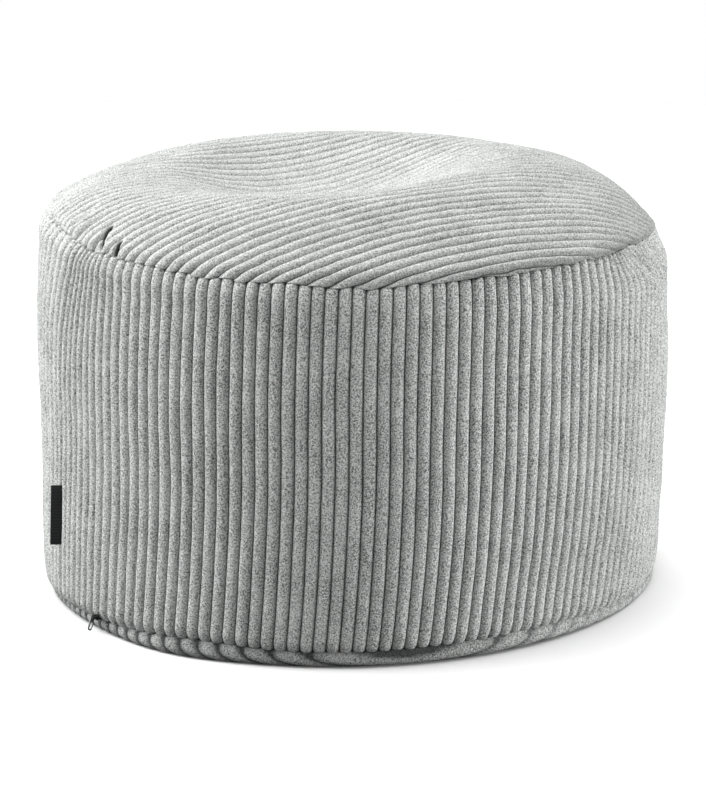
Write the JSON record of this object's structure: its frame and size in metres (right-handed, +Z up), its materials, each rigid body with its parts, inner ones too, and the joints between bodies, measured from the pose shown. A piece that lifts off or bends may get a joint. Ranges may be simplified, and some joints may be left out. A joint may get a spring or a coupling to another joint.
{
  "type": "pouf",
  "caption": "Round floor pouf in grey wide corduroy, a domed seat with a soft dent, upright cords round its side, a woven label and a zip pull.",
  "frame": {"origin": "on the floor under the middle of the pouf", "axes": "+Z up through the seat, -Y towards the front, with the label and the zip pull at the front left (-X)"},
  "size_m": [0.4976, 0.4976, 0.3313],
  "materials": {
    "band_corduroy": "short cut pile in wide cords, matte",
    "top_corduroy": "short cut pile in wide cords, matte",
    "bottom_corduroy": "short cut pile in wide cords, matte",
    "label_tape": "fine black woven tape",
    "slider_metal": "dark, satin",
    "pull_metal": "plain metal, satin"
  },
  "bodies": {
    "root": {"side_band": "band_corduroy", "top_panel": "top_corduroy", "bottom_panel": "bottom_corduroy", "woven_label": "label_tape", "zip_slider": "slider_metal", "zip_pull": "pull_metal"}
  },
  "joints": []
}
